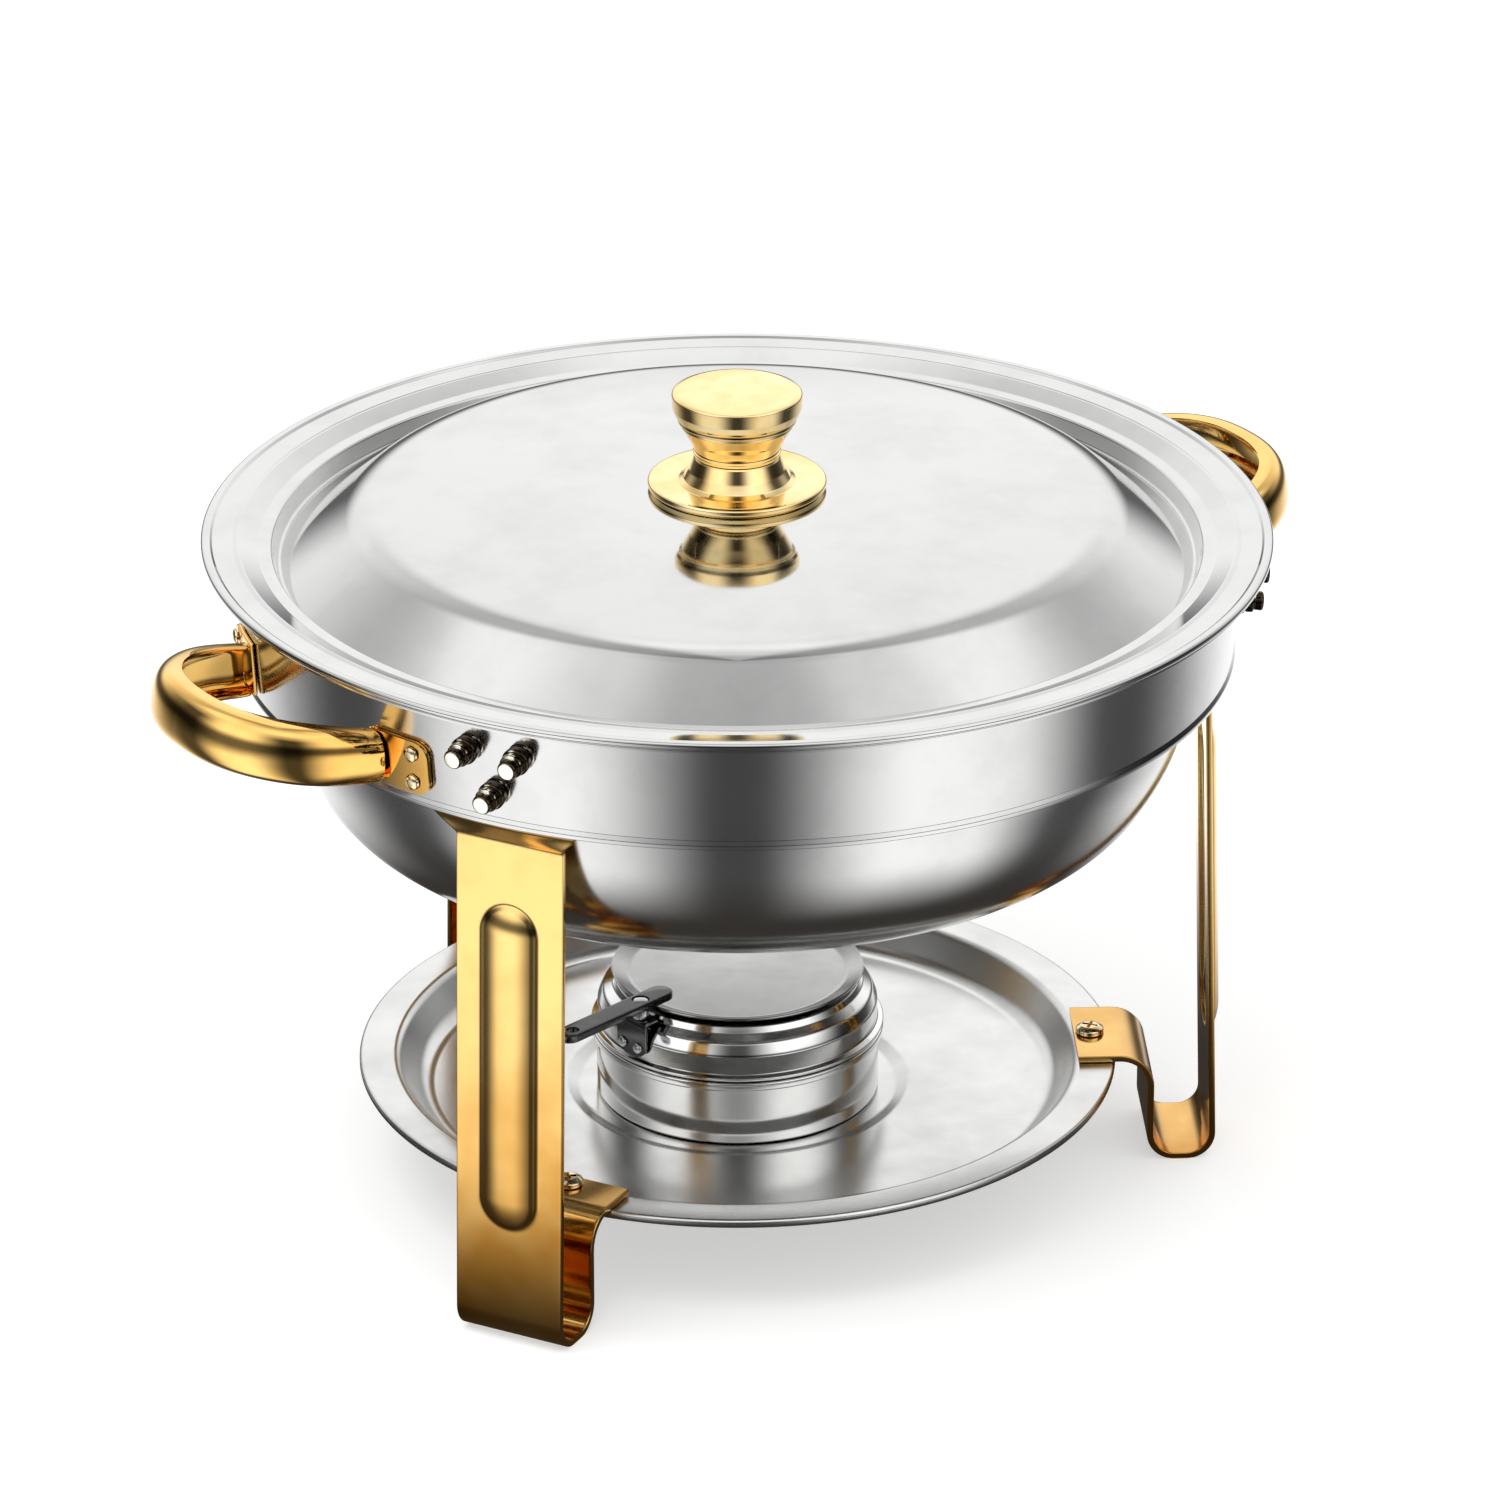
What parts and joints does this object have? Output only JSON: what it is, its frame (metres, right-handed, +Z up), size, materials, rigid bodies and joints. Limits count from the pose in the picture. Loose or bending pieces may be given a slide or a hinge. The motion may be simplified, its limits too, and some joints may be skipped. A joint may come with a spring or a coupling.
{
  "type": "chafing dish",
  "caption": "Round chafing dish: a domed lid over a food pan nested in a water pan, carried by a band on strap legs above a tray with a fuel burner and a swivelling damper.",
  "frame": {"origin": "on the dish's vertical axis, at the height of the feet", "axes": "+Z up, +X through the right handle, +Y through the back leg"},
  "size_m": [0.3974, 0.33, 0.2579],
  "materials": {
    "lid_steel": "mirror polished stainless steel",
    "pan_steel": "mirror polished stainless steel",
    "band_steel": "mirror polished stainless steel",
    "tray_steel": "spun satin stainless steel",
    "burner_steel": "polished stainless steel",
    "damper_steel": "polished stainless steel",
    "fastener_steel": "bright steel",
    "leg_gold": "polished gold coloured metal",
    "handle_gold": "polished gold coloured metal",
    "knob_gold": "polished gold coloured metal",
    "stud_gold": "polished gold coloured metal"
  },
  "bodies": {
    "frame": {"support_band": "band_steel", "tray": "tray_steel", "leg_back": "leg_gold", "tray_screw_back": "stud_gold", "tray_nut_back": "fastener_steel", "leg_back_bolt_upper_left": "fastener_steel", "leg_back_cap_nut_upper_left": "stud_gold", "leg_back_bolt_upper_right": "fastener_steel", "leg_back_cap_nut_upper_right": "stud_gold", "leg_back_bolt_lower": "fastener_steel", "leg_back_cap_nut_lower": "stud_gold", "leg_front_left": "leg_gold", "tray_screw_front_left": "stud_gold", "tray_nut_front_left": "fastener_steel", "leg_front_left_bolt_upper_left": "fastener_steel", "leg_front_left_cap_nut_upper_left": "stud_gold", "leg_front_left_bolt_upper_right": "fastener_steel", "leg_front_left_cap_nut_upper_right": "stud_gold", "leg_front_left_bolt_lower": "fastener_steel", "leg_front_left_cap_nut_lower": "stud_gold", "leg_front_right": "leg_gold", "tray_screw_front_right": "stud_gold", "tray_nut_front_right": "fastener_steel", "leg_front_right_bolt_upper_left": "fastener_steel", "leg_front_right_cap_nut_upper_left": "stud_gold", "leg_front_right_bolt_upper_right": "fastener_steel", "leg_front_right_cap_nut_upper_right": "stud_gold", "leg_front_right_bolt_lower": "fastener_steel", "leg_front_right_cap_nut_lower": "stud_gold", "handle_right": "handle_gold", "handle_right_rivet_1": "stud_gold", "handle_right_rivet_2": "stud_gold", "handle_right_rivet_3": "stud_gold", "handle_right_rivet_4": "stud_gold", "handle_left": "handle_gold", "handle_left_rivet_1": "stud_gold", "handle_left_rivet_2": "stud_gold", "handle_left_rivet_3": "stud_gold", "handle_left_rivet_4": "stud_gold"},
    "lid": {"lid": "lid_steel", "lid_knob_base": "knob_gold", "lid_knob": "knob_gold", "lid_knob_washer": "fastener_steel", "lid_knob_screw": "fastener_steel"},
    "food_pan": {"food_pan": "pan_steel"},
    "water_pan": {"water_pan": "pan_steel"},
    "burner_cup": {"burner_cup": "burner_steel"},
    "burner_cap": {"burner_cap": "burner_steel", "damper_bracket": "damper_steel", "bracket_rivet_1": "fastener_steel", "bracket_rivet_2": "fastener_steel", "damper_pivot": "fastener_steel"},
    "damper": {"damper_disc": "burner_steel", "damper_lever": "damper_steel"}
  },
  "joints": [
    {"name": "water_pan_lift", "type": "slide", "parent": "frame", "child": "water_pan", "axis": [0, 0, 1], "range_m": [0, 0.095]},
    {"name": "food_pan_lift", "type": "slide", "parent": "water_pan", "child": "food_pan", "axis": [0, 0, 1], "range_m": [0, 0.075]},
    {"name": "lid_lift", "type": "slide", "parent": "food_pan", "child": "lid", "axis": [0, 0, 1], "range_m": [0, 0.08]},
    {"name": "burner_lift", "type": "slide", "parent": "frame", "child": "burner_cup", "axis": [0, 0, 1], "range_m": [0, 0.012]},
    {"name": "burner_cap_lift", "type": "slide", "parent": "burner_cup", "child": "burner_cap", "axis": [0, 0, 1], "range_m": [0, 0.03]},
    {"name": "damper_turn", "type": "hinge", "parent": "burner_cap", "child": "damper", "pos_m": [-0.0424, -0.01018, 0.0625], "axis": [0, 0, 1], "range_deg": [0, 110]}
  ]
}
